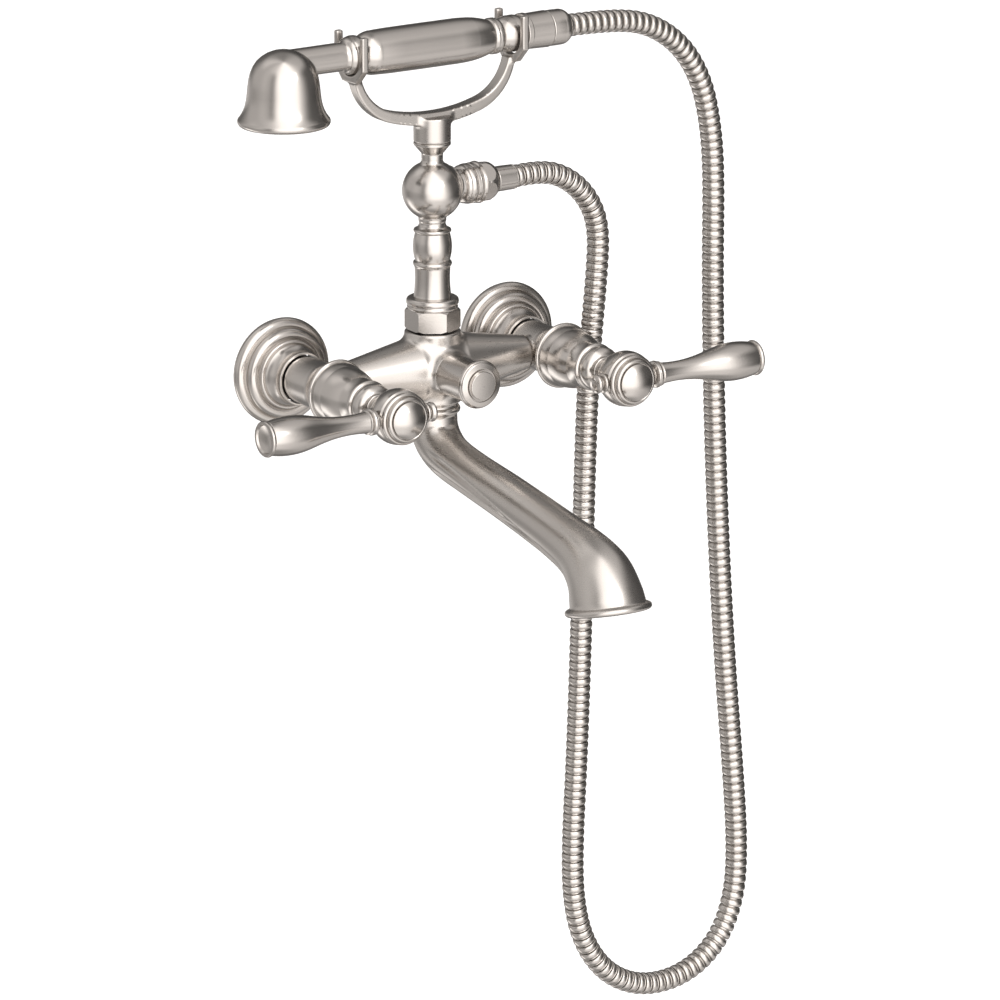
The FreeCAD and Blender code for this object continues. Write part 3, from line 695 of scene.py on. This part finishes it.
def cradle_field(x, y, z):
    """Cradle: socket, bow and two forks, with cast fillets."""
    depth = y + AXIS_STATION
    socket = smooth_max(np.hypot(x, depth) - SOCKET_R, np.abs(z - SOCKET_MIDDLE) - SOCKET_HALF_HEIGHT, 1.0)
    bow = bow_field(x, y, z)
    below = SHOWER_Z - z
    hollow = FORK_HOLLOW_R - np.where(below > 0, np.hypot(depth, below), np.abs(depth))
    corner_cut = (np.abs(depth) + below - FORK_CORNER_CUT) * 0.7071
    outside = np.maximum(np.abs(depth) - FORK_HALF_WIDTH, corner_cut)
    outside = np.maximum(outside, below - FORK_BELOW_SHOWER)
    fork = smooth_max(outside, hollow, 0.8)
    fork = smooth_max(fork, np.abs(np.abs(x) - FORK_X) - FORK_HALF_THICKNESS, 0.8)
    fork = smooth_max(fork, z - FORK_TOP, 1.0)
    solid = smooth_min(smooth_min(bow, socket, CRADLE_FILLET), fork, CRADLE_FILLET)
    bore = np.maximum(np.hypot(x, depth) - SOCKET_BORE_R, z - SOCKET_BORE_TOP)
    return np.maximum(solid, -bore)


BELL_X = -114.4
BELL_OUTSIDE = [
    # (radius, z): round shoulder, waist, flare, rolled rim
    (0.0, 227.6), (3.6, 227.35), (7.4, 226.45), (11.2, 224.9), (14.7, 222.7), (17.7, 219.9),
    (20.1, 216.4), (21.8, 212.4), (22.9, 208.0), (23.55, 203.4), (24.0, 198.8), (24.5, 194.6),
    (25.3, 190.8), (26.5, 187.4), (28.0, 184.6), (29.4, 182.6), (30.1, 181.7), (30.35, 180.8),
    (30.3, 179.8), (29.95, 178.9), (29.4, 178.2), (28.7, 177.75), (27.9, 177.6), (27.6, 177.8),
]
BELL_INSIDE = [
    (27.6, 180.4), (26.6, 182.6), (23.6, 188.6), (21.9, 195.0), (20.6, 202.0), (19.4, 208.6), (16.4, 215.4),
    (12.0, 220.4), (6.2, 223.4), (0.0, 224.2),
]
BELL_SEGMENTS = 96


def make_bell():
    """Spray bell, turned about its own upright axis and hollow from below."""
    profile = BELL_OUTSIDE + BELL_INSIDE
    vertices = []
    for radius, z in profile:
        count = 1 if radius == 0.0 else BELL_SEGMENTS
        for step in range(count):
            angle = 2 * math.pi * step / BELL_SEGMENTS
            vertices.append((BELL_X + radius * math.cos(angle), radius * math.sin(angle) - AXIS_STATION, z))
    last = len(vertices) - 1
    faces = []
    for step in range(BELL_SEGMENTS):
        onward = (step + 1) % BELL_SEGMENTS
        faces.append((0, 1 + step, 1 + onward))
        for row in range(len(profile) - 3):
            a = 1 + row * BELL_SEGMENTS
            faces.append((a + step, a + BELL_SEGMENTS + step, a + BELL_SEGMENTS + onward, a + onward))
        final = 1 + (len(profile) - 3) * BELL_SEGMENTS
        faces.append((final + step, last, final + onward))
    points = [(x * MM, (y - DATUM_OUT) * MM, z * MM) for x, y, z in vertices]
    bell = mesh_object("flared_bell", points, faces, NICKEL, 50)
    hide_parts("shower_bell")
    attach(bell, "hand_shower")


BODY_BOX = ((-73.5, -72.0, -25.0), (73.5, -22.0, 27.0))
BODY_CELL = 1.0
CRADLE_BOX = ((-67.0, -64.0, 149.5), (67.0, -27.0, 233.5))
CRADLE_CELL = 0.8

make_bell()
cast_object("cast_centre_body", body_field, *BODY_BOX, BODY_CELL, "centre_body")
cast_object("cast_cradle", cradle_field, *CRADLE_BOX, CRADLE_CELL, "cradle")


# ------------------------------------------------------------------ CAD nodes keep their shape

def dress_nodes():
    """Gives each CAD node the material of its slot in the record."""
    slots = {part["node"]: part["material_slot"] for part in frame["record"]["subparts"]}
    for name, node in frame["nodes"].items():
        material = BY_SLOT[slots[name]]
        if not node.data.materials:
            node.data.materials.append(material)
        for index in range(len(node.material_slots)):
            node.material_slots[index].material = material


dress_nodes()


# ------------------------------------------------------------------ stage and light

FLOOR_HALF_SIDE = 40.0
FLOOR_HEIGHT = -0.56
FLOOR_GLOW = 0.35


def make_floor():
    """White studio floor below the hanging hose, left out of reflections."""
    corners = [(-1, -1), (1, -1), (1, 1), (-1, 1)]
    vertices = [(x * FLOOR_HALF_SIDE, y * FLOOR_HALF_SIDE, FLOOR_HEIGHT) for x, y in corners]
    mesh = bpy.data.meshes.new("studio_floor")
    mesh.from_pydata(vertices, [], [(0, 1, 2, 3)])
    floor = bpy.data.objects.new("studio_floor", mesh)
    bpy.context.scene.collection.objects.link(floor)
    material, tree, shader = new_material("studio_floor")
    coords = position_of(tree)
    colour = mix_colour(tree, noise(tree, coords, 2.0), (0.93, 0.93, 0.93), (0.90, 0.90, 0.90))
    tree.links.new(colour, shader.inputs["Base Color"])
    shader.inputs["Roughness"].default_value = 0.9
    shader.inputs["Emission Color"].default_value = (1, 1, 1, 1)
    shader.inputs["Emission Strength"].default_value = FLOOR_GLOW
    mesh.materials.append(material)
    floor.visible_glossy = False


KEY_PLACE = Vector((0.4, -4.2, 2.6))
KEY_AIM = Vector((0, -0.1, 0))
KEY_SIDE = 1.6
KEY_POWER = 25


def make_key_light():
    """Square soft light high in front of the faucet."""
    data = bpy.data.lights.new("key", "AREA")
    data.shape = "RECTANGLE"
    data.size = KEY_SIDE
    data.size_y = KEY_SIDE
    data.energy = KEY_POWER
    light = bpy.data.objects.new("key", data)
    bpy.context.scene.collection.objects.link(light)
    light.location = KEY_PLACE
    light.rotation_euler = (KEY_AIM - KEY_PLACE).to_track_quat("-Z", "Y").to_euler()


# Brightness of the studio cards by compass share: 0.09 is behind the camera, then left, 0.59 behind the
# faucet, then right. 1.0 is a fully lit white card.
CARDS_HIGH = [
    (0.00, 1.0), (0.12, 0.95), (0.20, 0.60), (0.32, 0.46), (0.38, 0.60), (0.44, 0.56), (0.49, 0.40),
    (0.54, 0.30), (0.60, 0.28), (0.70, 0.45), (0.85, 0.50), (0.92, 0.62), (0.97, 0.9), (1.0, 1.0),
]
CARDS_MID = [
    (0.00, 1.0), (0.12, 1.0), (0.15, 0.84), (0.175, 0.42), (0.195, 0.30), (0.22, 0.46), (0.27, 0.52),
    (0.33, 0.46), (0.41, 0.46), (0.455, 0.33), (0.50, 0.20), (0.56, 0.15), (0.62, 0.12), (0.70, 0.12),
    (0.78, 0.16), (0.85, 0.18), (0.88, 0.28), (0.907, 0.46), (0.935, 0.64), (0.965, 0.94), (1.0, 1.0),
]
CARDS_LOW = [
    (0.00, 0.98), (0.09, 0.98), (0.137, 0.82), (0.165, 0.45), (0.19, 0.30), (0.246, 0.40), (0.31, 0.40),
    (0.385, 0.30), (0.43, 0.38), (0.50, 0.50), (0.56, 0.38), (0.62, 0.18), (0.70, 0.12), (0.79, 0.12),
    (0.854, 0.20), (0.885, 0.36), (0.919, 0.58), (0.95, 0.82), (0.978, 0.94), (1.0, 0.98),
]
CARDS_DEEP = [
    (0.00, 0.70), (0.10, 0.70), (0.20, 0.48), (0.32, 0.44), (0.37, 0.60), (0.40, 0.95), (0.435, 0.95),
    (0.465, 0.40), (0.50, 0.25), (0.58, 0.22), (0.64, 0.22), (0.71, 0.45), (0.80, 0.48), (0.88, 0.56),
    (1.0, 0.70),
]
GREY_BELOW = [(0.0, 0.35), (1.0, 0.35)]
CARD_RINGS = [
    # (height of the direction where a ring starts to show, height where it is alone, its cards), over the
    # middle ring, with a direction's height running from 1 straight up to -1 straight down
    (0.50, 0.72, CARDS_HIGH),
    (0.0, -0.14, CARDS_LOW),
    (-0.34, -0.54, CARDS_DEEP),
    (-0.84, -0.95, GREY_BELOW),
]
# The contrast deepens the grey cards and leaves the white ones. The warm tone multiplies them all.
STUDIO_CONTRAST = 1.55
STUDIO_WARM = (1.0, 0.966, 0.942)
STUDIO_STRENGTH = 2.3


def make_world():
    """Studio surround: four rings of white and grey cards over plain grey, and white to the camera."""
    world = bpy.data.worlds.new("studio")
    bpy.context.scene.world = world
    world.use_nodes = True
    tree = world.node_tree
    background = tree.nodes["Background"]
    coords = add(tree, "ShaderNodeTexCoord").outputs["Generated"]
    parts = add(tree, "ShaderNodeSeparateXYZ")
    tree.links.new(coords, parts.inputs["Vector"])
    turn = add(tree, "ShaderNodeMath", operation="ARCTAN2")
    tree.links.new(parts.outputs["X"], turn.inputs[0])
    tree.links.new(parts.outputs["Y"], turn.inputs[1])
    around = map_range(tree, turn.outputs[0], -math.pi, math.pi, 0.0, 1.0)
    light = ramp(tree, around, CARDS_MID)
    for start, full, cards in CARD_RINGS:
        share = map_range(tree, parts.outputs["Z"], start, full, 0.0, 1.0)
        light = mix_colour(tree, share, light, ramp(tree, around, cards))
    contrast = add(tree, "ShaderNodeGamma")
    contrast.inputs["Gamma"].default_value = STUDIO_CONTRAST
    tree.links.new(light, contrast.inputs["Color"])
    warm = mix_colour(tree, 1.0, contrast.outputs["Color"], STUDIO_WARM, "MULTIPLY")
    tree.links.new(warm, background.inputs["Color"])
    background.inputs["Strength"].default_value = STUDIO_STRENGTH
    plain = add(tree, "ShaderNodeBackground")
    plain.inputs["Color"].default_value = (1, 1, 1, 1)
    plain.inputs["Strength"].default_value = 1.0
    switch = add(tree, "ShaderNodeMixShader")
    path = add(tree, "ShaderNodeLightPath")
    tree.links.new(path.outputs["Is Camera Ray"], switch.inputs[0])
    tree.links.new(background.outputs[0], switch.inputs[1])
    tree.links.new(plain.outputs[0], switch.inputs[2])
    tree.links.new(switch.outputs[0], tree.nodes["World Output"].inputs["Surface"])


make_floor()
make_world()
make_key_light()
bpy.context.scene.view_settings.view_transform = "Standard"
bpy.context.scene.view_settings.look = "None"

bpy.context.view_layer.update()
